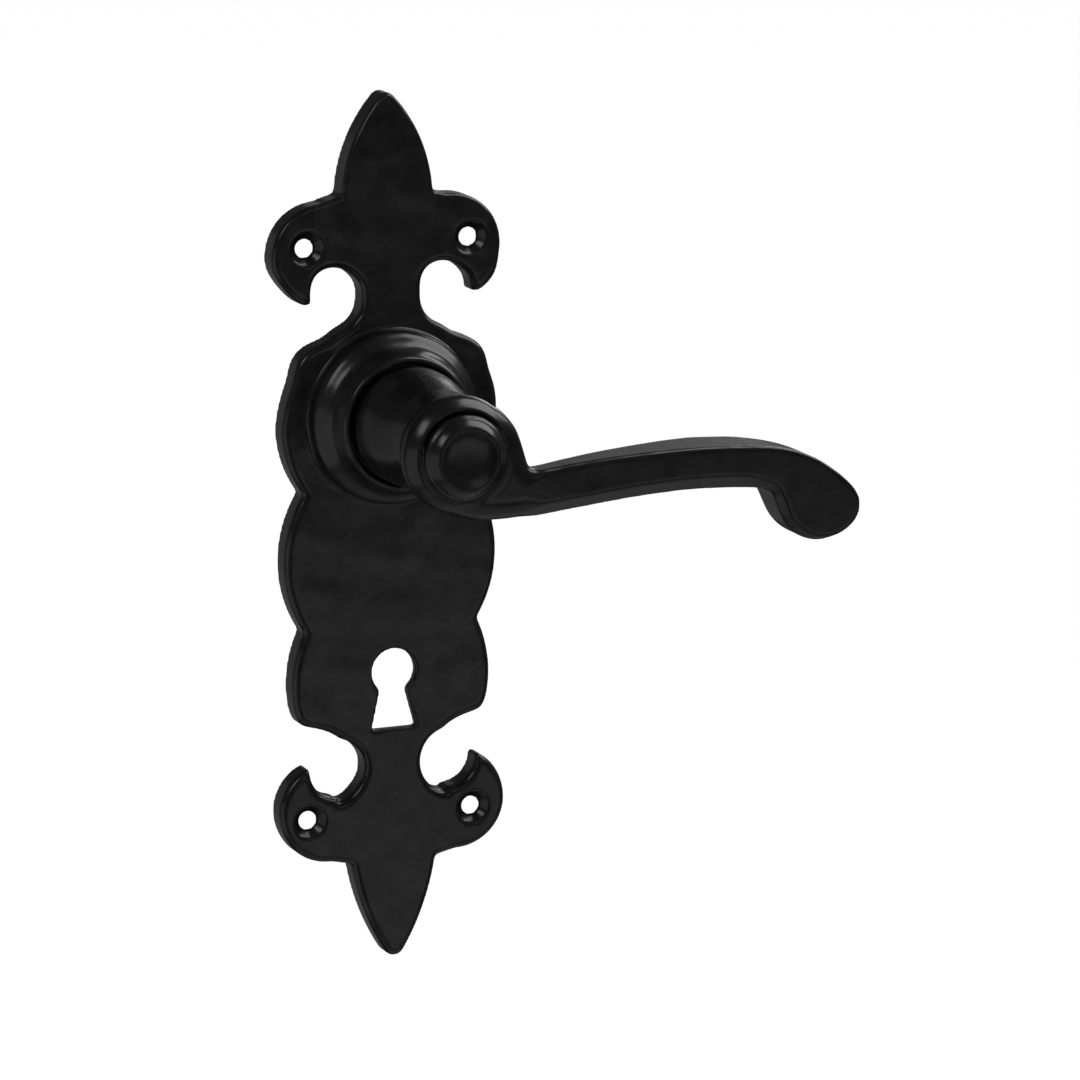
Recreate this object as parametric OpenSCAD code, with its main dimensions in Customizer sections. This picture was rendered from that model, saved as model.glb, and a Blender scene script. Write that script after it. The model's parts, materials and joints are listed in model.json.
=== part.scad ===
// Sprung lever lock handle on a long ornamental backplate.
// The door face is the plane Y = 0, the front looks towards -Y, and +Z is up.
// The origin is on the spindle's axis at the door face.  The arm points along +X.

/* [Backplate] */
// Thickness of the cast plate
plate_t = 6; // [5:0.5:7]
// Height of the upper spear's tip above the spindle axis
spear_top = 69.7; // [66:0.1:74]
// Depth of the lower spear's tip below the spindle axis
spear_bottom = 120; // [116:0.5:124]
// Spindle axis to the axis of the lock's key
lock_centres = 57; // [57:1:61]

/* [Fixing holes] */
// Hole-to-hole distance across the plate
fixing_across = 37.5; // [36:0.5:40]
// Hole-to-hole distance along the plate
fixing_along = 125; // [123:0.5:127]
// Height of the upper pair above the spindle axis
fixing_top = 37; // [35:0.5:39]
// Diameter of the clear hole
fixing_hole_d = 4.1; // [4:0.1:5]
// Diameter of the countersink at the front face
fixing_sink_d = 7.4; // [7:0.1:9]

/* [Rose] */
// Radius of the round boss that holds the lever's neck
rose_r = 18.4; // [18:0.1:20]
// Height of the boss above the door face
rose_h = 16.2; // [15.5:0.1:17]
// Radius of the open cup that the neck stands in
cup_r = 13.2; // [13.1:0.1:13.3]

/* [Lever] */
// Radius of the journal that turns in the bush
journal_r = 9; // [8.8:0.1:9]
// Distance from the door face to the arm's flat front
arm_front = 46.5; // [44:0.5:49]
// Depth of the grip from front to back
grip_depth = 15; // [12:0.5:16]
// Radius of the hub
hub_r = 12.4; // [12:0.1:13]
// Travel of the lever from rest to its lower stop
lever_travel = 45; // [40:1:48]

/* [Spindle] */
// Width of the square spindle
spindle_w = 8; // [7:0.5:8]
// How far the spindle reaches behind the door face
spindle_behind = 35; // [30:1:54]

/* [Hidden] */
$fn = 72;
cut = 0.5;              // how far a cutting shape runs past the face it opens
web_back = 3.4;         // back of the thin web left round the keyhole
keyhole_relief = 2;     // how far the hollow behind the keyhole runs past its edge

iron = "#1c1c1d";
steel = "#8d9095";
zinc = "#b4b6b8";
nylon = "#26272a";

// Levels along the depth, measured out from the door face.
cover_t = 1;            // rear cover, flush in its rebate
pocket_floor = 7.5;     // inner end of the spring pocket
cup_floor = 12;         // floor of the cup that the neck stands in
washer_t = 0.8;         // flat washers, in front of and behind the web
neck_start = cup_floor + washer_t;
plate_seat = 3;         // shoulder that the drive plate sits against
drive_t = 1.6;          // drive plate
tang_end = 1.2;         // rear end of the square tang
groove_d = [4.9, 6];    // circlip groove
socket_end = 35;        // blind end of the spindle socket
grub_level = 28;        // grub screw in the neck

// Radii inside the boss.
pocket_r = 16;
rebate_r = 20.4;
bush_r = 10;
fit_gap = 0.05;         // running clearance of the journal
coil_r = 12.6;          // mean radius of the torsion spring
wire_r = 0.6;
stop_ring_r = 14.6;     // stop pins and anchor pin stand on this radius
pin_r = 1.1;
pin_depth = 2.5;        // how deep a pin is pressed into the web
finger_angle = -100;    // where the drive plate's finger pushes the spring
lobe_angles = [70, 110];
cover_screw_ring = 18.2;
cover_screw_r = 1.25;
cover_screw_length = 4.5;
cover_head_r = 2;
tang_w = 12;

// Angles that follow from the sizes above, measured from +X towards +Z.
pin_half = asin(pin_r / stop_ring_r) + 1;
rest_stop_angle = lobe_angles[1] + pin_half;
travel_stop_angle = lobe_angles[0] - lever_travel - pin_half;
wire_half = asin(wire_r / stop_ring_r) + 0.3;
finger_half = 4;
coil_turns = 2.5;
coil_levels = [6.8, 3.75];
moving_leg_angle = finger_angle - finger_half - wire_half;
fixed_leg_angle = moving_leg_angle + 360 * coil_turns;

// Puts shapes drawn in XY, and solids raised along Z, on a level out from the door.
module level(d) translate([0, -d, 0]) rotate([90, 0, 0]) children();
module both_sides() { children(); mirror([1, 0]) children(); }
function polar(r, a) = [r * cos(a), r * sin(a)];

// ---- Backplate ----

// A pointed leaf: two large arcs that meet, with the point rounded off.
module leaf(side_r, side_x, tip_r, tip_y) {
    tip_centre = sqrt(pow(side_r - tip_r, 2) - side_x * side_x);
    translate([0, tip_y - tip_centre - tip_r]) {
        intersection() {
            translate([-side_x, 0]) circle(side_r);
            translate([side_x, 0]) circle(side_r);
            translate([-side_r, 0]) square([2 * side_r, tip_centre + tip_r * 0.4]);
        }
        translate([0, tip_centre]) circle(tip_r);
    }
}

// A lobe's two flanks: slices of large discs centred past the plate's middle.
module lobe(centre_y, r, past, ends) {
    both_sides() intersection() {
        translate([-past, centre_y]) circle(r);
        translate([-1, ends[0]]) square([r, ends[1] - ends[0]]);
    }
}

// A pair of curled leaves with the necks that they spring from.
module upper_curls() {
    both_sides() {
        difference() {
            union() {
                translate([14.5, 35.5]) circle(11.2);
                polygon([[0, 30], [14.5, 30], [14.5, 46.7], [9, 48.2], [0, 48.2]]);
                polygon([[-1, 13], [18.8, 15], [12.2, 18.2], [12.2, 34], [-1, 34]]);
            }
            translate([12.2, 27.2]) circle(6.1);
            intersection() {
                translate([13.5, 25.6]) circle(7.3);
                translate([5, 16]) square([7.2, 15]);
            }
        }
        translate([15.3, 9.6]) circle(6.7);
    }
}

module lower_curls() {
    both_sides() difference() {
        union() {
            translate([14.8, -86.2]) circle(11.2);
            polygon([[0, -82], [14.8, -82], [14.8, -97.4], [9, -98.6], [0, -98.6]]);
            polygon([[-1, -64], [20, -64], [20, -66.5], [12.5, -69], [12.5, -87], [-1, -87]]);
        }
        translate([12.6, -76.8]) circle(6.4);
        intersection() {
            translate([13.8, -77]) circle(7.4);
            translate([5, -85]) square([7.5, 17]);
        }
    }
}

module plate_outline() {
    leaf(34, 23.7, 2, spear_top);
    mirror([0, 1]) intersection() {
        leaf(53.8, 43.8, 2.4, spear_bottom);
        translate([-20, 86]) square([40, 40]);
    }
    upper_curls();
    intersection() {
        translate([0, -1.5]) circle(24.3);
        translate([-30, -30]) square([60, 40]);
    }
    lobe(-31, 27.5, 3.5, [-46.5, -15]);
    lobe(-58, 27, 4.6, [-67, -44.5]);
    lower_curls();
}

module keyhole_outline() {
    top = 0.6 - lock_centres;
    translate([0, top]) circle(5.1);
    polygon([[-3.3, top - 2], [3.3, top - 2], [3.3, top - 4.6], [5, top - 12.3],
             [-5, top - 12.3], [-3.3, top - 4.6]]);
}

module rose_solid() {
    rotate_extrude() polygon([
        [0, 1], [rose_r + 0.6, 1], [rose_r + 0.6, plate_t], [rose_r + 0.1, plate_t + 0.5],
        [rose_r, plate_t + 3.2], [rose_r - 0.5, plate_t + 4.5], [16.6, rose_h - 4.3],
        [15.4, rose_h - 2.6], [14.4, rose_h - 1], [13.9, rose_h], [0, rose_h]]);
}

module fixing_hole() {
    sink_depth = (fixing_sink_d - fixing_hole_d) / 2;
    translate([0, 0, -cut]) cylinder(d = fixing_hole_d, h = plate_t + 2 * cut);
    translate([0, 0, plate_t - sink_depth])
        cylinder(d1 = fixing_hole_d, d2 = fixing_sink_d, h = sink_depth);
    translate([0, 0, plate_t]) cylinder(d = fixing_sink_d, h = cut);
}

module on_ring(r, angles) for (a = angles) translate(concat(polar(r, a), [0])) children();

module backplate() color(iron) difference() {
    union() {
        level(0) linear_extrude(plate_t) plate_outline();
        level(0) rose_solid();
    }
    level(-cut) linear_extrude(plate_t + 2 * cut) keyhole_outline();
    level(-cut) linear_extrude(web_back + cut) offset(r = keyhole_relief) keyhole_outline();
    for (x = [-1, 1], z = [fixing_top, fixing_top - fixing_along])
        translate([x * fixing_across / 2, 0, z]) level(0) fixing_hole();
    level(-cut) cylinder(r = rebate_r, h = cover_t + cut);
    level(0) cylinder(r = pocket_r, h = pocket_floor);
    level(pocket_floor - cut) cylinder(r = bush_r, h = 6);
    level(cup_floor) cylinder(r = cup_r, h = rose_h);
    level(pocket_floor - cut) on_ring(stop_ring_r, [rest_stop_angle, travel_stop_angle])
        cylinder(r = pin_r, h = pin_depth + cut);
    level(pocket_floor - cut) on_ring(stop_ring_r, [anchor_angle()])
        cylinder(r = pin_r, h = pin_depth + cut);
    level(0) on_ring(cover_screw_ring, cover_screw_angles())
        cylinder(r = cover_screw_r, h = cover_screw_length);
}

function cover_screw_angles() = [90, 210, 330];
// The spring's fixed leg rests against its pin's side.
function anchor_angle() = fixed_leg_angle - asin(pin_r / stop_ring_r) - wire_half;

// ---- Pieces that stay with the plate ----

module ring(r_in, r_out, h) difference() {
    cylinder(r = r_out, h = h);
    translate([0, 0, -cut]) cylinder(r = r_in, h = h + 2 * cut);
}

module neck_bush() color(nylon)
    level(pocket_floor) ring(journal_r + fit_gap, bush_r, cup_floor - pocket_floor);

module thrust_washer() color(nylon)
    level(cup_floor) ring(journal_r + 0.3, 12.4, washer_t);

module stop_pins() color(steel)
    level(tang_end) on_ring(stop_ring_r, [rest_stop_angle, travel_stop_angle])
        cylinder(r = pin_r, h = pocket_floor + pin_depth - tang_end);

module spring_anchor_pin() color(steel)
    level(5.9) on_ring(stop_ring_r, [anchor_angle()])
        cylinder(r = pin_r, h = pocket_floor + pin_depth - 5.9);

// The spring's centre line: the fixed leg, the coil, then the leg on the finger.
leg_end_r = 15.3;
coil_steps = 48;
function coil_point(t) = concat(polar(coil_r, fixed_leg_angle - 360 * coil_turns * t),
                                [coil_levels[0] + (coil_levels[1] - coil_levels[0]) * t]);
spring_line = concat(
    [concat(polar(leg_end_r, fixed_leg_angle), [coil_levels[0]])],
    [for (i = [0 : coil_steps]) coil_point(i / coil_steps)],
    [concat(polar(leg_end_r, moving_leg_angle), [coil_levels[1]])]);

function unit(v) = v / norm(v);

// A round wire along a line that never runs straight up.
module wire(line, r, sides) {
    last = len(line) - 1;
    rings = [for (i = [0 : last])
        let (along = unit(line[min(i + 1, last)] - line[max(i - 1, 0)]),
             across = unit(cross(along, [0, 0, 1])),
             up = cross(along, across))
        for (k = [0 : sides - 1])
            line[i] + r * (cos(360 * k / sides) * across + sin(360 * k / sides) * up)];
    polyhedron(rings, concat(
        [[for (k = [0 : sides - 1]) k]],
        [for (i = [0 : last - 1], k = [0 : sides - 1]) let (n = (k + 1) % sides)
            [i * sides + n, i * sides + k, (i + 1) * sides + k, (i + 1) * sides + n]],
        [[for (k = [sides - 1 : -1 : 0]) last * sides + k]]));
}

module return_spring() color(steel) level(0) wire(spring_line, wire_r, 8);

module cover_plate() color(zinc) level(0) difference() {
    cylinder(r = rebate_r - 0.1, h = cover_t);
    translate([0, 0, -cut]) cylinder(r = 6.4, h = cover_t + 2 * cut);
    on_ring(cover_screw_ring, cover_screw_angles()) {
        translate([0, 0, -cut]) cylinder(r = cover_screw_r, h = cover_t + 2 * cut);
        cylinder(r1 = cover_head_r, r2 = cover_screw_r, h = cover_head_r - cover_screw_r);
    }
}

module cover_screws() color(steel) level(0) on_ring(cover_screw_ring, cover_screw_angles())
    difference() {
        union() {
            cylinder(r1 = cover_head_r, r2 = cover_screw_r, h = cover_head_r - cover_screw_r);
            cylinder(r = cover_screw_r, h = cover_screw_length);
        }
        translate([-1.1, -0.2, -cut]) cube([2.2, 0.4, cut + 0.5]);
        translate([-0.2, -1.1, -cut]) cube([0.4, 2.2, cut + 0.5]);
    }

// ---- Lever ----

// The neck, from the square tang that carries the drive plate up into the hub.
module neck_solid() {
    rotate_extrude() polygon([
        [0, plate_seat], [journal_r, plate_seat], [journal_r, groove_d[0]],
        [journal_r - 0.8, groove_d[0]], [journal_r - 0.8, groove_d[1]], [journal_r, groove_d[1]],
        [journal_r, neck_start], [12.1, neck_start], [12.5, 16], [12.8, 18.5], [12.6, 21],
        [12.1, 25], [11.3, 29], [10.7, 33], [10.5, 37], [10.7, 40], [0, 40]]);
    translate([-tang_w / 2, -tang_w / 2, tang_end]) cube([tang_w, tang_w, plate_seat - tang_end + cut]);
}

hub_drop = 1.1;         // the hub's rim is centred a little below the spindle axis
// The hub's rim, its narrow groove, and the round dished button on its front.
module hub_solid() {
    translate([0, -hub_drop, 0]) rotate_extrude() {
        polygon([
            [0, 39], [10.2, 39], [hub_r - 0.7, 40.9], [hub_r, 43], [hub_r, arm_front - 2],
            [hub_r - 0.5, arm_front - 0.7], [hub_r - 1.3, arm_front + 0.2], [10.3, arm_front + 0.8],
            [9.8, arm_front + 0.8], [9.7, arm_front - 0.4], [0, arm_front - 0.4]]);
        polygon([
            [0, 41], [9, 41], [9, arm_front + 1.7], [8.3, arm_front + 2.2], [8.2, arm_front + 2.8],
            [7.5, arm_front + 3.7], [6.7, arm_front + 4.3], [6.2, arm_front + 4.1],
            [5, arm_front + 3.6], [3, arm_front + 3.3], [0, arm_front + 3.2]]);
    }
}

// Stations along the arm: x, top edge, bottom edge, depth.
arm_stations = [
    [-5, -8, -12.6, 8], [0, -7, -14.8, 8], [6, -6.6, -15.8, 8.2], [12, -6, -15.9, 8.5],
    [18, -5.5, -15.5, 9], [27, -4.6, -14.7, 10], [38, -3.7, -13.7, grip_depth - 3.5],
    [48, -3.4, -13, grip_depth - 1.5], [58, -3.5, -13, grip_depth], [66, -4, -13.4, grip_depth],
    [73, -5.1, -13.9, grip_depth - 0.5], [79, -7.6, -16, grip_depth - 2]];

// Flat front, top and bottom with an oval back: points are [height, distance out from the door].
back_round = 4;       // how deep the oval back is
oval_power = 2.6;
function oval(a) = sign(a) * pow(abs(a), 2 / oval_power);
function arm_section(s) = let (mid = (s[1] + s[2]) / 2, half = (s[1] - s[2]) / 2)
    concat([[mid + half * 0.98, arm_front]],
           [for (a = [90 : -15 : -90])
               [mid + half * oval(sin(a)), arm_front - s[3] + back_round * (1 - oval(cos(a)))]],
           [[mid - half, arm_front - 3], [mid - half * 0.78, arm_front - 1], [mid - half * 0.3, arm_front]]);

module arm_solid() {
    sections = [for (s = arm_stations) [for (p = arm_section(s)) [s[0], p[0], p[1]]]];
    sides = len(sections[0]);
    last = len(sections) - 1;
    polyhedron([for (s = sections) each s], concat(
        [[for (k = [sides - 1 : -1 : 0]) k]],
        [for (i = [0 : last - 1], k = [0 : sides - 1]) let (n = (k + 1) % sides)
            [i * sides + k, i * sides + n, (i + 1) * sides + n, (i + 1) * sides + k]],
        [[for (k = [0 : sides - 1]) last * sides + k]]));
}

// The drooping round end of the grip.
module grip_end() {
    discs = [[84.5, -18.7, 6.8], [81.2, -17.7, 7.9], [78.7, -13, 5.6]];
    back = arm_front - grip_depth;
    hull() for (c = discs) translate([c[0], c[1], 0]) {
        translate([0, 0, back + 4]) cylinder(r = c[2], h = grip_depth - 5, $fn = 32);
        translate([0, 0, back]) cylinder(r = c[2] * 0.55, h = grip_depth, $fn = 32);
        translate([0, 0, arm_front - 1]) cylinder(r = c[2] - 0.8, h = 1, $fn = 32);
    }
}

module lever() color(iron) difference() {
    level(0) {
        neck_solid();
        hub_solid();
        arm_solid();
        grip_end();
    }
    level(tang_end - cut) translate([-spindle_w / 2 - 0.1, -spindle_w / 2 - 0.1, 0])
        cube([spindle_w + 0.2, spindle_w + 0.2, socket_end - tang_end + cut]);
    translate([0, -grub_level, -14]) cylinder(r = 2.5, h = 12);
}

// ---- Pieces that turn with the lever ----

module retaining_washer() color(steel)
    level(pocket_floor - washer_t) ring(journal_r + 0.15, 11.6, washer_t);

module spring_washer() color(steel) level(groove_d[1] - 0.05) rotate_extrude()
    polygon([[journal_r + 0.15, 0], [11, 0.4], [11, 0.7], [journal_r + 0.15, 0.3]]);

module circlip() color(steel) level(groove_d[0] + 0.05) difference() {
    ring(journal_r - 0.75, 10.6, 1);
    translate([0, 0, -cut]) linear_extrude(2)
        polygon([[0, 0], polar(20, 70), polar(20, 110)]);
}

// A disc with a lobe that meets the stop pins and a finger that loads the spring.
module drive_plate() color(zinc) level(plate_seat - drive_t) difference() {
    union() {
        cylinder(r = 11.8, h = drive_t);
        sector(15.2, lobe_angles[0], lobe_angles[1], drive_t);
        sector(15.4, finger_angle - finger_half, finger_angle + finger_half, drive_t);
        difference() {
            sector(15.4, finger_angle - finger_half, finger_angle + finger_half, 3.2);
            translate([0, 0, -cut]) cylinder(r = 13.6, h = 4);
        }
    }
    translate([-tang_w / 2, -tang_w / 2, -cut]) cube([tang_w, tang_w, drive_t + 2 * cut]);
}

module sector(r, a1, a2, h) linear_extrude(h) intersection() {
    circle(r);
    polygon([[0, 0], polar(2 * r, a1), polar(2 * r, a2)]);
}

module spindle() color(steel)
    translate([-spindle_w / 2, -socket_end + 0.5, -spindle_w / 2])
        cube([spindle_w, socket_end - 0.5 + spindle_behind, spindle_w]);

module grub_screw() color(steel) translate([0, -grub_level, -spindle_w / 2 - 6.5]) difference() {
    cylinder(r = 2.45, h = 6.5);
    translate([0, 0, -cut]) cylinder(r = 1.3, h = 3, $fn = 6);
}

backplate();
neck_bush();
thrust_washer();
stop_pins();
spring_anchor_pin();
return_spring();
cover_plate();
cover_screws();
lever();
retaining_washer();
spring_washer();
circlip();
drive_plate();
spindle();
grub_screw();
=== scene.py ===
import json
import math

import bpy
import numpy as np
import openvdb
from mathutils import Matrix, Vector


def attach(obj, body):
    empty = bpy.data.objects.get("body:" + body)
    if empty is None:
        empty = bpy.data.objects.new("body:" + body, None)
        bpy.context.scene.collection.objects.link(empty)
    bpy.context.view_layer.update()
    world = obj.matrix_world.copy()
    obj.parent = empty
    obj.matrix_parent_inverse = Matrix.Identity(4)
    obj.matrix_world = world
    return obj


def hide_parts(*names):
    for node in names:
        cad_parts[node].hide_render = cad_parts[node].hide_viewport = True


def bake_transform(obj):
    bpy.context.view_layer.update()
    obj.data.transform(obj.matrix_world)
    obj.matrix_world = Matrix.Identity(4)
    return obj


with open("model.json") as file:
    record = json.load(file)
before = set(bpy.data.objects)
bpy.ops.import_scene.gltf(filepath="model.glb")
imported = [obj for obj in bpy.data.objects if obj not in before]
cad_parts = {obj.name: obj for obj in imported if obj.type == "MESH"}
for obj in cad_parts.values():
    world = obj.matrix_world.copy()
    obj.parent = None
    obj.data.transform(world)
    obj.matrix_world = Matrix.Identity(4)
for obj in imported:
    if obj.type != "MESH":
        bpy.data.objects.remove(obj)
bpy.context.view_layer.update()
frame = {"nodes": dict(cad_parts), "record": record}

# Lengths are in millimetres up to the point where a mesh is made. In the frame the door face is Y = 0 and
# the spindle's axis is the Y axis. "level" is the distance out from the door face, so level = -Y.
MM = 0.001

CUP_FLOOR = 12.0    # level of the floor of the cup that the neck stands in
WEB_BACK = 3.4      # level of the back of the thin web round the keyhole and the fixing holes
FIXING_HOLES = [(-18.8, 37.0), (18.3, 37.3), (-19.2, -87.6), (18.5, -88.1)]    # as x and z

UPPER_SPEAR = {"side_r": 34, "side_x": 23.6, "tip_r": 2.1, "tip_z": 69.3}
LOWER_SPEAR = {"side_r": 54, "side_x": 43.7, "tip_r": 2.4, "tip_z": 119.9}

ARM_FRONT = 46.5    # level of the arm's flat front
HUB_DROP = 1.1      # how far the hub's centre lies below the spindle's axis


# ---------------------------------------------------------------- distance fields

def smooth_min(a, b, k):
    """Union of two distance fields, with a fillet of about k."""
    h = np.clip(0.5 + 0.5 * (b - a) / k, 0.0, 1.0)
    return b * (1 - h) + a * h - k * h * (1 - h)


def smooth_max(a, b, k):
    """Intersection of two distance fields, with an edge rounded by about k."""
    return -smooth_min(-a, -b, k)


def round_max(a, b, r):
    """Intersection with a true quarter-round edge of radius r."""
    return np.minimum(np.maximum(a + r, b + r), 0) + np.hypot(np.maximum(a + r, 0), np.maximum(b + r, 0)) - r


def step(x, low, high):
    """0 below low, 1 above high, smooth between."""
    t = np.clip((x - low) / (high - low), 0.0, 1.0)
    return t * t * (3 - 2 * t)


def disc(x, z, cx, cz, r):
    return np.hypot(x - cx, z - cz) - r


def slab(x, low, high):
    return np.maximum(low - x, x - high)


def polygon(x, z, points):
    """Signed distance to a closed polygon, negative inside."""
    p = np.asarray(points, float)
    nearest = np.full(np.broadcast(x, z).shape, 1e9)
    inside = np.zeros(nearest.shape, bool)
    for (ax, az), (bx, bz) in zip(p, np.roll(p, -1, 0)):
        ex, ez = bx - ax, bz - az
        t = np.clip(((x - ax) * ex + (z - az) * ez) / max(ex * ex + ez * ez, 1e-12), 0, 1)
        nearest = np.minimum(nearest, (x - ax - t * ex) ** 2 + (z - az - t * ez) ** 2)
        if az != bz:
            inside ^= ((az > z) != (bz > z)) & (x < ax + (z - az) * ex / ez)
    return np.where(inside, -1, 1) * np.sqrt(nearest)


def blur(field, cells):
    """Gaussian blur along both axes, which rounds an outline's corners."""
    reach = int(math.ceil(3 * cells))
    kernel = np.exp(-0.5 * (np.arange(-reach, reach + 1) / cells) ** 2)
    kernel /= kernel.sum()
    for axis in (0, 1):
        margins = [(reach, reach) if a == axis else (0, 0) for a in (0, 1)]
        wide = np.pad(field, margins, mode="reflect", reflect_type="odd")
        field = sum(w * np.take(wide, range(i, i + field.shape[axis]), axis) for i, w in enumerate(kernel))
    return field


def spline(points, steps=8):
    """Closed smooth curve through the points."""
    p = np.asarray(points, float)
    a, b, c, d = (np.roll(p, k, 0)[:, None] for k in (1, 0, -1, -2))
    t = (np.arange(steps) / steps)[None, :, None]
    terms = (2 * b, (c - a) * t, (2 * a - 5 * b + 4 * c - d) * t ** 2, (3 * b - a - 3 * c + d) * t ** 3)
    return (0.5 * sum(terms)).reshape(-1, 2)


class Turned:
    """A solid of revolution, from its half profile of (radius, level) points, with softened corners."""
    CELL = 0.1

    def __init__(self, profile, softness):
        p = np.asarray(profile, float)
        self.low = p.min(0) - 3
        r = np.arange(self.low[0], p[:, 0].max() + 3, self.CELL)
        v = np.arange(self.low[1], p[:, 1].max() + 3, self.CELL)
        table = polygon(*np.meshgrid(r, v, indexing="ij"), p)
        self.table = blur(table, softness / self.CELL).astype(np.float32)

    def __call__(self, radius, level):
        i = np.clip((radius - self.low[0]) / self.CELL, 0, self.table.shape[0] - 1.001)
        j = np.clip((level - self.low[1]) / self.CELL, 0, self.table.shape[1] - 1.001)
        i0, j0 = i.astype(np.int32), j.astype(np.int32)
        fi, fj = i - i0, j - j0
        t = self.table
        near = t[i0, j0] * (1 - fj) + t[i0, j0 + 1] * fj
        far = t[i0 + 1, j0] * (1 - fj) + t[i0 + 1, j0 + 1] * fj
        return near * (1 - fi) + far * fi


def ripple(x, z, length, seed, waves=24, y=0.0):
    """A smooth random height between about -1 and 1, with features of the given length."""
    rng = np.random.RandomState(seed)
    total = 0.0
    for _ in range(waves):
        way = rng.normal(size=3)
        way /= np.linalg.norm(way)
        k = 2 * math.pi / (length * rng.uniform(0.7, 1.6))
        total = total + np.sin(k * (way[0] * x + way[1] * z + way[2] * y) + rng.uniform(0, 2 * math.pi))
    return total / math.sqrt(waves / 2) / 1.5


def mesh_object(name, points, faces):
    """A mesh object from points in millimetres. Its four-sided faces are smooth-shaded."""
    data = bpy.data.meshes.new(name)
    data.from_pydata((points * MM).tolist(), [], faces)
    data.validate()
    data.polygons.foreach_set("use_smooth", [face.loop_total == 4 for face in data.polygons])
    piece = bpy.data.objects.new(name, data)
    bpy.context.scene.collection.objects.link(piece)
    return piece


def spread(flat_field):
    """A field seen from the front, spread over the depth."""
    return flat_field[:, None, :].astype(np.float32)


class Block:
    """A regular block of points between two corners, to evaluate distance fields on."""

    def __init__(self, low, high, cell):
        self.low, self.cell = np.asarray(low, float), cell
        axes = [np.arange(a, b + cell, cell, dtype=np.float32) for a, b in zip(low, high)]
        self.x = axes[0][:, None, None]
        self.level = -axes[1][None, :, None]
        self.z = axes[2][None, None, :]
        self.shape = tuple(len(a) for a in axes)

    def flat(self):
        """The same points seen from the front, as arrays that spread over the depth."""
        return np.broadcast_arrays(self.x[:, 0, :].astype(float), self.z[0].astype(float))

    def mesh(self, name, field):
        """The surface where the field is zero, as a mesh object."""
        band = 3 * self.cell
        values = np.clip(np.broadcast_to(field, self.shape), -band, band).astype(np.float32)
        grid = openvdb.FloatGrid(band)
        grid.copyFromArray(np.ascontiguousarray(values))
        points, quads = grid.convertToQuads(isovalue=0.0)
        return mesh_object(name, points * self.cell + self.low, quads[:, ::-1].tolist())


# ---------------------------------------------------------------- backplate

def leaf(x, z, side_r, side_x, tip_r, tip_z):
    """A pointed leaf between two arcs, pointing to +z, with a rounded point."""
    centre = math.sqrt((side_r - tip_r) ** 2 - side_x ** 2)
    base = tip_z - tip_r - centre
    sides = np.maximum(np.hypot(x + side_x, z - base) - side_r, z - (base + centre + 0.4 * tip_r))
    return np.minimum(sides, disc(x, z, 0, base + centre, tip_r))


def lean(z):
    """How far the casting stands to the right of the spindle's axis at each height."""
    return 0.5 * step(z, -4, 6) - step(z, 27, 34) + 0.3 * step(-z, 82, 92)


def lobe(x, z, cx, cz, r, low, high):
    """A disc that is cut off below low and above high."""
    return np.maximum(disc(x, z, cx, cz, r), slab(z, low, high))


def upper_curls(x, z, side):
    """The curled leaves above the boss, with the stem between them. side is 1 on the right, else -1."""
    curl = disc(x, z, cx=14.5, cz=35.3 + 0.3 * side, r=11.4)
    curl_end = 25.25 + 0.35 * side
    root = polygon(x, z, [(-9, 30), (14.5, 30), (14.5, 46.7), (9, 48.2), (-9, 48.2)])
    stem = polygon(x, z, [(-9, 13), (18.8, 15), (12.3, 18.2), (12.3, 34), (-9, 34)])
    leaves = np.minimum.reduce([np.maximum(curl, curl_end - z), root, stem])
    bay_by_stem = np.maximum(lobe(x, z, cx=13.7, cz=25.4, r=7.1, low=16, high=30.6), slab(x, -9, 12.4))
    bay = np.minimum(disc(x, z, cx=12.4, cz=26.8, r=5.8), bay_by_stem)
    return np.maximum(leaves, -bay)


def lower_curls(x, z, side):
    """The curled leaves below the keyhole, with the stem between them."""
    curl = disc(x, z, cx=14.8, cz=-86.1, r=11.1)
    root = polygon(x, z, [(-9, -82), (14.8, -82), (14.8, -97.1), (9, -98.4), (-9, -98.6)])
    stem = polygon(x, z, [(-9, -64), (20, -64), (20, -66.4), (12.5, -69), (12.5, -86), (-9, -86)])
    leaves = np.minimum.reduce([curl, root, stem])
    bay_by_stem = np.maximum(lobe(x, z, cx=13.9, cz=-77, r=7.3, low=-85, high=-68), slab(x, -9, 12.5))
    bay = np.minimum(disc(x, z, cx=12.8 + 0.3 * side, cz=-76.8, r=6.3), bay_by_stem)
    return np.maximum(leaves, -bay)


def plate_outline(x, z):
    """Spear, curls, shoulders, three lobes, curls and spear. The sides are alike but for small shifts."""
    x = x - lean(z)
    side = np.sign(x)
    x = np.abs(x)
    middle = [(-12, 8), (16, 6), (20, -8), (17.5, -17), (20, -31), (17.5, -45.5), (18, -60), (-12, -60)]
    return np.minimum.reduce([
        leaf(x, z, **UPPER_SPEAR),
        upper_curls(x, z, side),
        disc(x, z, cx=15.3, cz=9.6, r=6.7),
        lobe(x, z, cx=0, cz=-1.5, r=24.4, low=-28, high=10),
        lobe(x, z, cx=-3.5, cz=-31, r=27.7, low=-46.5, high=-15),
        lobe(x, z, cx=-4.6, cz=-58, r=27.2, low=-66.8, high=-44.5),
        polygon(x, z, middle),
        lower_curls(x, z, side),
        np.maximum(leaf(x, -z, **LOWER_SPEAR), z + 86)])


def keyhole_outline(x, z):
    slot = [(-3.15, -58), (3.35, -58), (3.35, -61), (5.45, -68.7), (-4.85, -68.7), (-3.15, -61)]
    return np.minimum(disc(x, z, cx=0.3, cz=-56, r=5), polygon(x, z, slot))


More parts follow.
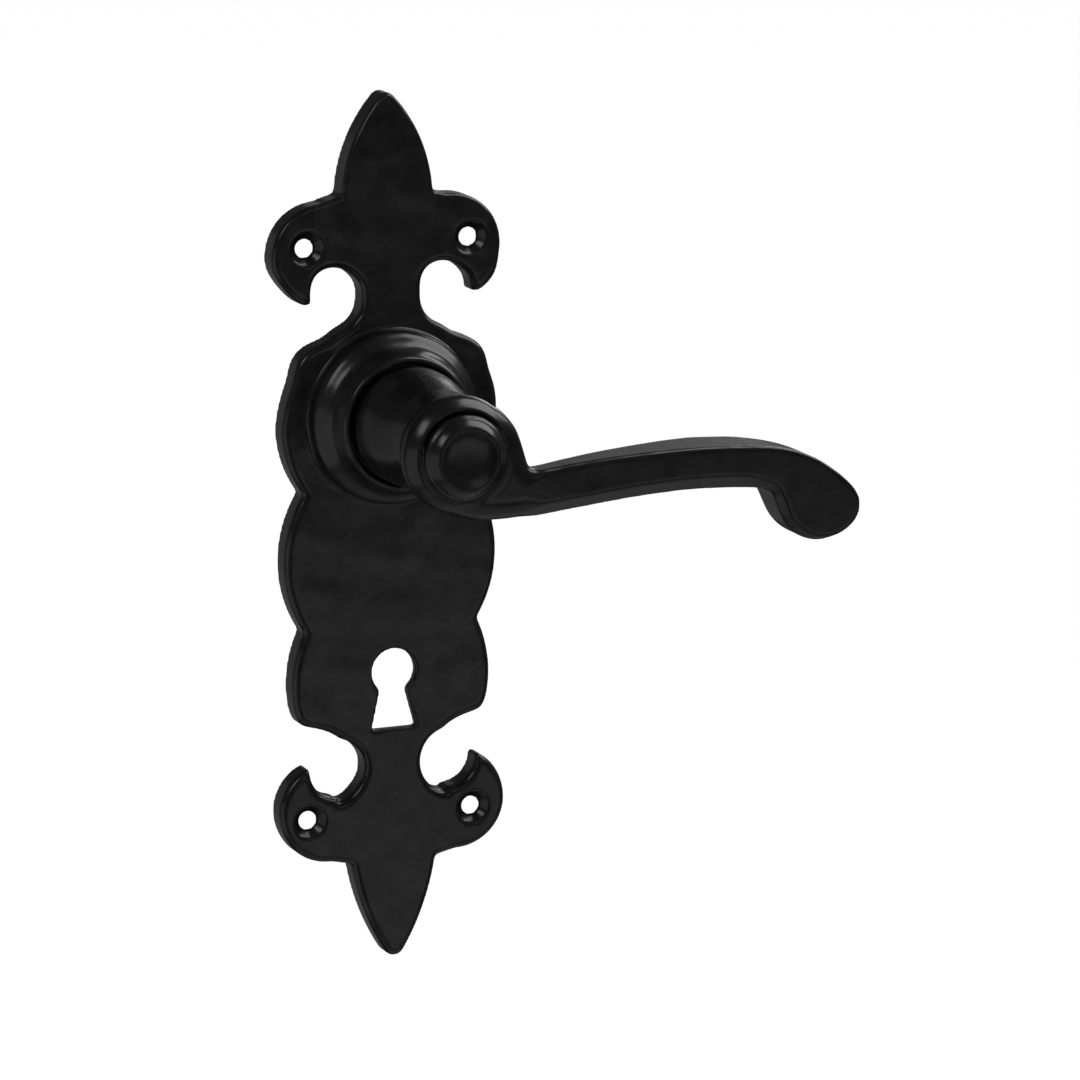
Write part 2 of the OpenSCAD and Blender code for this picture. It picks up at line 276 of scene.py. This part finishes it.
def rose_profile():
    """The round boss: a straight foot, a soft shoulder and a slope that steepens to the cup's rim."""
    return Turned([(-5, 1), (19, 1), (18.9, 6), (18.7, 8.4), (18.35, 9.2), (17.8, 9.8), (17, 10.4),
                   (16.2, 11.1), (15.6, 12.1), (15.1, 13.4), (14.7, 15), (14.4, 16), (13.9, 16.3),
                   (-5, 16.3)], softness=0.3)


def bore_profile():
    """What is cut out of the boss: the cover's seat, the spring pocket, the bush's bore and the cup."""
    pocket_r, pocket_top, bore_r, cup_r = 16, 7.5, 10, 13.2
    cover_r, cover_t = 20.4, 1
    return Turned([(-5, -3), (cover_r, -3), (cover_r, cover_t), (pocket_r, cover_t), (pocket_r, pocket_top),
                   (bore_r, pocket_top), (bore_r, CUP_FLOOR), (cup_r, CUP_FLOOR), (cup_r, 22), (-5, 22)],
                  softness=0.12)


def fixing_hole_profile():
    """A countersunk hole through the web, and the hollow behind it."""
    hollow_r, hole_r, sink_r, sink_floor = 3.6, 1.9, 3.7, 3.9
    return Turned([(-5, -3), (hollow_r, -3), (hollow_r, WEB_BACK), (hole_r, WEB_BACK), (hole_r, sink_floor),
                   (sink_r, 5.7), (3.9, 9), (-5, 9)], softness=0.2)


def make_backplate():
    cell = 0.42
    block = Block((-28, -18, -122.5), (28, 1, 72), cell)
    x, z, level = block.x, block.z, block.level
    fx, fz = block.flat()

    # The outline's corners are crisp, except on the shoulders of the top lobe and of the bottom one.
    crisp, soft = 0.5, 1.5
    sharp = plate_outline(fx, fz)
    shoulders = step(fz, 2, 8) * (1 - step(fz, 19, 23)) + step(-fz, 62, 64) * (1 - step(-fz, 69, 71))
    outline = blur(sharp, crisp / cell) * (1 - shoulders) + blur(sharp, soft / cell) * shoulders

    # The front is uneven, and stands proud at the top, up to the right-hand edge of the spear.
    spear = blur(leaf(fx - lean(fz), fz, **UPPER_SPEAR), 0.4 / cell)
    proud = 0.5 * (1 - step(spear, -0.5, 0.5)) * step(fz, 32, 60)
    uneven = (0.04 * ripple(fx, fz, length=10, seed=3) + 0.012 * ripple(fx, fz, length=4.5, seed=4)
              + 0.006 * ripple(fx, fz, length=2, seed=5))
    plate_front = 5.8
    front = plate_front + proud + uneven

    sharp_edge, more_below = 0.8, 0.7
    edge_r = spread(sharp_edge + more_below * (1 - step(fz, 30, 46)))
    body = round_max(spread(outline), level - spread(front), edge_r)
    body = smooth_max(body, -level, 0.2)

    radius = np.hypot(x, z)
    lumps = 0.05 * ripple(x, z, length=6, seed=21, waves=16, y=level)
    body = smooth_min(body, rose_profile()(radius, level) + lumps, 0.7)
    body = smooth_max(body, -bore_profile()(radius, level), 0.2)

    keyhole = spread(blur(keyhole_outline(fx, fz), 0.3 / cell))
    keyhole_relief = 2
    body = smooth_max(body, -keyhole, 0.3)
    body = smooth_max(body, -np.maximum(keyhole - keyhole_relief, level - WEB_BACK), 0.5)
    hole = fixing_hole_profile()
    for hx, hz in FIXING_HOLES:
        body = smooth_max(body, -hole(np.hypot(x - hx, z - hz), level), 0.4)
    return block.mesh("backplate_casting", body)


# ---------------------------------------------------------------- lever

# The arm's outline from the front: from the hub along the upper edge to the grip's end, and back below.
ARM_OUTLINE = [
    (0, 7.5), (4.5, 8.8), (8.4, 8.2), (10.2, 6.9), (11.7, 5.3), (13, 3.4), (13.9, 1.1), (14.5, -1),
    (15, -2.9), (15.5, -4.4), (16.7, -5.3), (19, -5.35), (24, -4.85), (30, -4.35), (37, -3.9), (45, -3.6),
    (53, -3.5), (60, -3.7), (67, -4.2), (72.5, -4.95), (77, -6.15), (81, -7.9), (84, -9.8), (86.8, -11.9),
    (89.4, -14.4), (90.9, -16.7), (91.3, -18.7), (90.9, -20.8), (89.5, -22.8), (87.2, -24.4), (84.4, -25.4),
    (81.6, -25.8), (78.7, -25.1), (76, -23.4), (74, -20.9), (72.7, -18), (71.8, -15.8), (70.9, -14.4),
    (69, -13.8), (65, -13.45), (58, -13.05), (51, -12.95), (44, -13.25), (36, -13.85), (28, -14.65),
    (20, -15.4), (12, -15.9), (7, -15.9), (3.6, -15.6), (0.3, -14.8), (-2, -13.9), (-4.5, -12.3), (-7, -9.4),
    (-8, -5), (-7, 0), (-4, 5)]


def arm_field(block):
    """The arm: flat in front with a bevel below, flat on top, and oval behind."""
    cell, x, level = block.cell, block.x, block.level
    fx, fz = block.flat()
    near_hub = 1 - step(fx, 13, 19)

    # The front's bevel is wide below, next to nothing where the outline faces up, and dies out at the grip.
    outline = blur(polygon(fx, fz, spline(ARM_OUTLINE)), 0.3 / cell)
    slope_x, slope_z = np.gradient(blur(outline, 0.9 / cell), cell)
    facing_up = step(0.6 * slope_z + 0.8 * slope_x, -0.25, 0.45)
    bevel = 3.0 - facing_up * (2.45 - 1.2 * near_hub)
    bevel = bevel * (1 - 0.45 * step(fx, 64, 72)) * (1 - 0.8 * step(fx, 77, 87))
    softness = spread(0.3 + 1.5 * near_hub)
    outline = spread(outline)

    high = ARM_FRONT + 0.6 * (1 - step(fx, 12, 26))
    front = level - spread(high + 0.03 * ripple(fx, fz, length=14, seed=8))

    # From front to back the arm is thin at the hub, thicker along its length and thinner again at the grip.
    thin, gain, loss = 6.3, 7.9, 4
    depth = thin + gain * np.clip((x - 12) / 44, 0, 1) - loss * step(x, 64, 82)

    back_round, half, power = 3.2, 4.6, 2.6
    side = np.maximum(1 + outline / half, 0)
    back = np.maximum(ARM_FRONT - level - depth + back_round, 0) / back_round
    oval = ((side ** power + back ** power) ** (1 / power) - 1) * half
    gradient = np.sqrt(sum(g * g for g in np.gradient(oval, cell)))
    arm = round_max(oval / np.maximum(gradient, 0.6), front, 0.3)
    return smooth_max(arm, (outline + front + spread(bevel)) * math.sqrt(0.5), softness)


def neck_profile():
    """The journal in the bush, the circlip's groove in it, and the bulging neck in front of the plate."""
    journal_r, groove_r, neck_r = 9, 8.2, 10.3
    return Turned([(-5, 3), (journal_r, 3), (journal_r, 4.9), (groove_r, 4.9), (groove_r, 6), (journal_r, 6),
                   (journal_r, 12.8), (12.1, 12.8), (12.5, 16), (12.8, 18.5), (12.6, 21), (12.1, 25),
                   (11.3, 29), (10.6, 33), (neck_r, 37), (neck_r, 42), (-5, 42)], softness=0.3)


def hub_profile():
    """The round hub: widest near the front, with a raised rim round the groove."""
    foot, hub_r, rim_foot = 39, 12.4, 47.1
    return Turned([(-5, foot), (9.8, foot), (11.6, 40.8), (hub_r, 43), (hub_r, 44.2), (11.9, 45.4),
                   (11.1, 46.3), (10.2, rim_foot), (9.7, 47.4), (9.4, rim_foot), (-5, rim_foot)],
                  softness=0.13)


def button_profile():
    """The raised button in the hub's front, with a step round it and a shallow dish in its middle."""
    return Turned([(-5, 42), (9, 42), (9, 48.2), (8.7, 48.5), (8.3, 48.6), (8.2, 49.1), (7.6, 49.8),
                   (6.9, 50.5), (6.5, 50.7), (6.1, 50.58), (5.4, 50.35), (4.4, 50.12), (3.2, 49.95),
                   (1.8, 49.85), (0, 49.82), (-5, 49.82)], softness=0.13)


def square_bar(x, z, half_width):
    return np.maximum(np.abs(x), np.abs(z)) - half_width


def make_lever():
    block = Block((-14.5, -52, -28.5), (93.5, 0, 14), 0.36)
    x, z, level = block.x, block.z, block.level
    hub_x, button_x = 0.1, 0.2
    hub_radius = np.hypot(x - hub_x, z + HUB_DROP)
    button_radius = np.hypot(x - button_x, z + HUB_DROP)

    body = smooth_min(neck_profile()(np.hypot(x, z), level), hub_profile()(hub_radius, level), 1.5)
    body = smooth_min(body, arm_field(block), 0.6)

    # The groove between hub and button is deep over the top and runs out at both ends.
    angle = np.degrees(np.arctan2(z, x)) % 360
    groove_depth = 1.6 * (step(angle, 25, 60) * (1 - step(angle, 145, 185)))
    groove_r, groove_half_width, hub_front = 9.3, 0.35, 47.2
    groove_floor = hub_front - groove_depth
    groove = np.maximum(np.abs(button_radius - groove_r) - groove_half_width, groove_floor - level)
    body = smooth_max(body, -groove, 0.15)
    body = smooth_min(body, button_profile()(button_radius, level), 0.2)
    body = body + 0.02 * ripple(x, z, length=8, seed=11, waves=16, y=level)

    # The square tang at the back, the spindle's socket through it, and the grub screw's hole in the neck.
    tang_half, socket_half, socket_end = 6, 4.1, 35
    grub_level, grub_r = 28, 2.5
    tang = np.maximum(square_bar(x, z, tang_half), slab(level, 1.2, 4))
    socket = np.maximum(square_bar(x, z, socket_half), slab(level, -3, socket_end))
    grub_hole = np.maximum(np.hypot(x, level - grub_level) - grub_r, z)
    body = np.maximum(np.minimum(body, tang), -socket)
    body = smooth_max(body, -grub_hole, 0.4)
    return block.mesh("lever_casting", body)


# ---------------------------------------------------------------- return spring

def make_spring():
    """The torsion coil, built at rest: in the real lock its front end stays with the plate and its rear end
    turns with the lever, but this mesh does not turn.
    """
    coil_r, leg_r, wire_r, turns = 12.6, 15.3, 0.6, 2.5
    fixed_level, moving_level = 6.8, 3.75
    moving_angle = -106.65
    steps, sides = 180, 12
    line = []
    for i in range(steps + 1):
        t = i / steps
        a = math.radians(moving_angle + 360 * turns * (1 - t))
        level = fixed_level + (moving_level - fixed_level) * t
        line.append((coil_r * math.cos(a), -level, coil_r * math.sin(a)))
    outwards = np.array((leg_r / coil_r, 1, leg_r / coil_r))
    line = np.array([line[0] * outwards, *line, line[-1] * outwards])
    along = np.gradient(line, axis=0)
    along /= np.linalg.norm(along, axis=1)[:, None]
    across = np.cross(along, (0, 1, 0))
    across /= np.linalg.norm(across, axis=1)[:, None]
    up = np.cross(along, across)
    turn = 2 * np.pi * np.arange(sides) / sides
    rings = line[:, None] + wire_r * (np.cos(turn)[None, :, None] * across[:, None]
                                      + np.sin(turn)[None, :, None] * up[:, None])
    corners = np.arange(len(line) * sides).reshape(-1, sides)
    beside = np.roll(corners, -1, 1)
    faces = np.stack([corners[:-1], beside[:-1], beside[1:], corners[1:]], 2).reshape(-1, 4).tolist()
    faces.append(corners[0, ::-1].tolist())
    faces.append(corners[-1].tolist())
    return mesh_object("spring_coil", rings.reshape(-1, 3), faces)


# ---------------------------------------------------------------- materials

class Shader:
    """A principled material with a few helpers that add nodes to it."""

    def __init__(self, name):
        self.material = bpy.data.materials.new(name)
        self.material.use_nodes = True
        self.tree = self.material.node_tree
        self.surface = self.tree.nodes["Principled BSDF"]
        self.place = self.tree.nodes.new("ShaderNodeTexCoord").outputs["Object"]

    def link(self, a, b):
        self.tree.links.new(a, b)

    def noise(self, scale, detail=3.0, roughness=0.5, stretch=None):
        node = self.tree.nodes.new("ShaderNodeTexNoise")
        node.inputs["Scale"].default_value = scale
        node.inputs["Detail"].default_value = detail
        node.inputs["Roughness"].default_value = roughness
        self.link(self.stretched(stretch), node.inputs["Vector"])
        return node.outputs["Fac"]

    def stretched(self, stretch):
        if stretch is None:
            return self.place
        node = self.tree.nodes.new("ShaderNodeMapping")
        node.inputs["Scale"].default_value = stretch
        self.link(self.place, node.inputs["Vector"])
        return node.outputs["Vector"]

    def dots(self, scale, size):
        """1 at the middle of scattered dots, 0 outside them."""
        node = self.tree.nodes.new("ShaderNodeTexVoronoi")
        node.inputs["Scale"].default_value = scale
        self.link(self.place, node.inputs["Vector"])
        return self.ramp(node.outputs["Distance"], [(0.0, 1.0), (size, 0.0)])

    def ramp(self, value, stops):
        node = self.tree.nodes.new("ShaderNodeMapRange")
        node.clamp = True
        (a, ya), (b, yb) = stops
        for socket, number in zip(("From Min", "From Max", "To Min", "To Max"), (a, b, ya, yb)):
            node.inputs[socket].default_value = number
        self.link(value, node.inputs["Value"])
        return node.outputs["Result"]

    def math(self, kind, a, b):
        node = self.tree.nodes.new("ShaderNodeMath")
        node.operation = kind
        for socket, v in zip(node.inputs, (a, b)):
            if isinstance(v, (int, float)):
                socket.default_value = v
            else:
                self.link(v, socket)
        return node.outputs[0]

    def colour(self, factor, low, high):
        node = self.tree.nodes.new("ShaderNodeValToRGB")
        node.color_ramp.elements[0].position, node.color_ramp.elements[1].position = 0.32, 0.68
        node.color_ramp.elements[0].color = (*low, 1)
        node.color_ramp.elements[1].color = (*high, 1)
        self.link(factor, node.inputs["Fac"])
        self.link(node.outputs["Color"], self.surface.inputs["Base Color"])

    def roughness(self, factor, low, high):
        self.link(self.ramp(factor, [(0.3, low), (0.7, high)]), self.surface.inputs["Roughness"])

    def bump(self, height, distance):
        node = self.tree.nodes.new("ShaderNodeBump")
        node.inputs["Distance"].default_value = distance
        self.link(height, node.inputs["Height"])
        self.link(node.outputs["Normal"], self.surface.inputs["Normal"])


def black_iron(name, unevenness, mottle):
    """Black paint over cast iron: mottled, softly uneven, with a fine orange peel and a few pimples."""
    s = Shader(name)
    s.surface.inputs["IOR"].default_value = 1.26
    s.surface.inputs["Coat Weight"].default_value = 1.0
    s.surface.inputs["Coat IOR"].default_value = 1.45
    s.surface.inputs["Coat Roughness"].default_value = 0.2
    clouds = s.noise(scale=260, detail=6, roughness=0.68)
    s.colour(clouds, low=(0.0004, 0.0004, 0.0005), high=(mottle, mottle, 1.04 * mottle))
    s.roughness(s.noise(scale=330, detail=5, roughness=0.62), low=0.42, high=0.56)
    grain = s.math("MULTIPLY", s.noise(scale=2400, detail=3, roughness=0.6), 0.06)
    orange_peel = s.math("MULTIPLY", s.noise(scale=700, detail=2), 0.45)
    waves = s.math("MULTIPLY", s.noise(scale=230, detail=2), 0.6)
    waves = s.math("ADD", s.math("ADD", orange_peel, grain), waves)
    pimples = s.math("MULTIPLY", s.dots(210, 0.1), 0.3)
    s.bump(s.math("ADD", waves, pimples), unevenness)
    return s.material


def sheet_steel(name, low, high, roughness, grain):
    """Bare or plated steel, with a faint grain along its length."""
    s = Shader(name)
    s.surface.inputs["Metallic"].default_value = 0.75
    streaks = s.noise(scale=500, detail=4, roughness=0.6, stretch=grain)
    clouds = s.noise(scale=160)
    s.colour(s.math("ADD", s.math("MULTIPLY", streaks, 0.6), s.math("MULTIPLY", clouds, 0.4)), low, high)
    s.roughness(streaks, *roughness)
    s.bump(streaks, distance=0.00002)
    return s.material


def nylon():
    s = Shader("nylon")
    s.colour(s.noise(scale=300), low=(0.014, 0.014, 0.015), high=(0.022, 0.022, 0.024))
    s.roughness(s.noise(scale=900), low=0.42, high=0.55)
    s.bump(s.noise(scale=1500), distance=0.00002)
    return s.material


def paint(obj, material):
    obj.data.materials.clear()
    obj.data.materials.append(material)


def dress(obj, material):
    paint(obj, material)


def soften_edges(node, width):
    edge = node.modifiers.new("soft_edges", "BEVEL")
    edge.width = width * MM
    edge.segments = 3
    edge.limit_method = "ANGLE"
    edge.angle_limit = math.radians(35)


# ---------------------------------------------------------------- assembly

def build():
    iron = black_iron("black_iron", 0.0001, 0.005)
    smooth_iron = black_iron("black_iron_lever", 0.00005, 0.0035)
    zinc = sheet_steel("zinc_plate", (0.42, 0.43, 0.44), (0.60, 0.61, 0.62), (0.26, 0.40), (1, 1, 6))
    dark = sheet_steel("spring_steel", (0.16, 0.16, 0.165), (0.26, 0.26, 0.265), (0.28, 0.42), (1, 4, 1))
    bar = sheet_steel("bar_steel", (0.34, 0.34, 0.345), (0.50, 0.50, 0.51), (0.22, 0.38), (6, 0.4, 6))

    plate = make_backplate()
    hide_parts("backplate")
    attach(plate, "plate")
    dress(plate, iron)

    lever = make_lever()
    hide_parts("lever")
    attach(lever, "lever")
    dress(lever, smooth_iron)

    spring = make_spring()
    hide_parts("return_spring")
    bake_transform(spring)
    dress(spring, dark)

    finishes = {"black_iron": iron, "zinc_plate": zinc, "spring_steel": dark, "bar_steel": bar,
                "nylon": nylon()}
    for row in frame["record"]["subparts"]:
        if row["node"] not in ("backplate", "lever", "return_spring"):
            paint(frame["nodes"][row["node"]], finishes[row["material_slot"]])
    bevels = {"spindle": 0.5, "cover_plate": 0.15, "drive_plate": 0.2, "cover_screws": 0.08}
    for name, width in bevels.items():
        soften_edges(frame["nodes"][name], width)


# ---------------------------------------------------------------- studio

AZIMUTH, ELEVATION = math.radians(-22.5), math.radians(12.5)
TOWARDS_CAMERA = Vector((math.sin(AZIMUTH) * math.cos(ELEVATION), -math.cos(AZIMUTH) * math.cos(ELEVATION),
                         math.sin(ELEVATION)))
AIM = Vector((0.03657, -0.00016, -0.0313))
CAMERA_DISTANCE = 1.2
LENS = 183.9
LIGHTS_AIM = Vector((0.02, -0.02, -0.02))
FLOOR_Z = -0.9

# Lengths here are in metres. Radiance is how bright a softbox looks to a surface that mirrors it.
SOFTBOXES = [
    # name, direction, distance, width, height, radiance
    ("right_top", (0.68, -0.06, 0.70), 1.1, 0.65, 1.0, 3.0),
    ("left_top", (-0.68, -0.42, 0.60), 1.2, 0.32, 0.45, 3.0),
    ("front", (0.15, -0.95, 0.27), 1.3, 0.45, 0.3, 0.5),
    ("back_right", (0.62, 0.70, 0.36), 1.2, 0.4, 0.4, 1.9),
    ("back", (0.34, 0.91, 0.22), 1.4, 0.45, 0.5, 0.15),
    ("back_left", (-0.50, 0.85, -0.20), 1.3, 1.8, 1.2, 0.11),
    ("left", (-0.88, -0.22, -0.36), 1.2, 1.3, 1.2, 0.40),
    ("front_low", (0.36, -0.88, -0.37), 1.5, 1.1, 0.45, 0.39),
    ("below", (0.15, -0.20, -0.85), 0.75, 1.2, 0.9, 0.2)]


def make_camera():
    data = bpy.data.cameras.new("camera")
    data.lens = LENS
    data.sensor_width = 36
    data.clip_start, data.clip_end = 0.05, 60
    camera = bpy.data.objects.new("camera", data)
    camera.location = AIM + TOWARDS_CAMERA * CAMERA_DISTANCE
    camera.rotation_mode = "QUATERNION"
    camera.rotation_quaternion = (-TOWARDS_CAMERA).to_track_quat("-Z", "Y")
    bpy.context.scene.collection.objects.link(camera)
    bpy.context.scene.camera = camera


def softbox(name, direction, distance, width, height, radiance):
    """An area light that faces the object and that the camera doesn't see."""
    data = bpy.data.lights.new(name, "AREA")
    data.shape = "RECTANGLE"
    data.size, data.size_y = width, height
    data.energy = radiance * math.pi * width * height
    light = bpy.data.objects.new(name, data)
    way = Vector(direction).normalized()
    light.location = LIGHTS_AIM + way * distance
    light.rotation_mode = "QUATERNION"
    light.rotation_quaternion = way.to_track_quat("Z", "Y")
    light.visible_camera = False
    bpy.context.scene.collection.objects.link(light)


def make_world():
    """A white surround, which reflections see dimmed so that the softboxes shape the highlights."""
    seen, mirrored = 1.15, 0.05
    world = bpy.data.worlds.new("world")
    world.use_nodes = True
    tree = world.node_tree
    background = tree.nodes["Background"]
    background.inputs["Color"].default_value = (1, 1, 1, 1)
    ray = tree.nodes.new("ShaderNodeLightPath")
    strength = tree.nodes.new("ShaderNodeMapRange")
    strength.inputs["To Min"].default_value = seen
    strength.inputs["To Max"].default_value = mirrored
    tree.links.new(ray.outputs["Is Glossy Ray"], strength.inputs["Value"])
    tree.links.new(strength.outputs["Result"], background.inputs["Strength"])
    bpy.context.scene.world = world


def make_floor():
    bpy.ops.mesh.primitive_plane_add(size=24, location=(0, 0, FLOOR_Z))
    floor = bpy.context.object
    floor.name = "floor"
    floor.visible_glossy = False
    material = bpy.data.materials.new("floor")
    material.use_nodes = True
    surface = material.node_tree.nodes["Principled BSDF"]
    surface.inputs["Base Color"].default_value = (0.92, 0.92, 0.92, 1)
    surface.inputs["Roughness"].default_value = 0.9
    floor.data.materials.append(material)


def make_studio():
    bpy.context.scene.view_settings.view_transform = "Standard"
    for box in SOFTBOXES:
        softbox(*box)
    make_world()
    make_floor()


build()
make_camera()
make_studio()
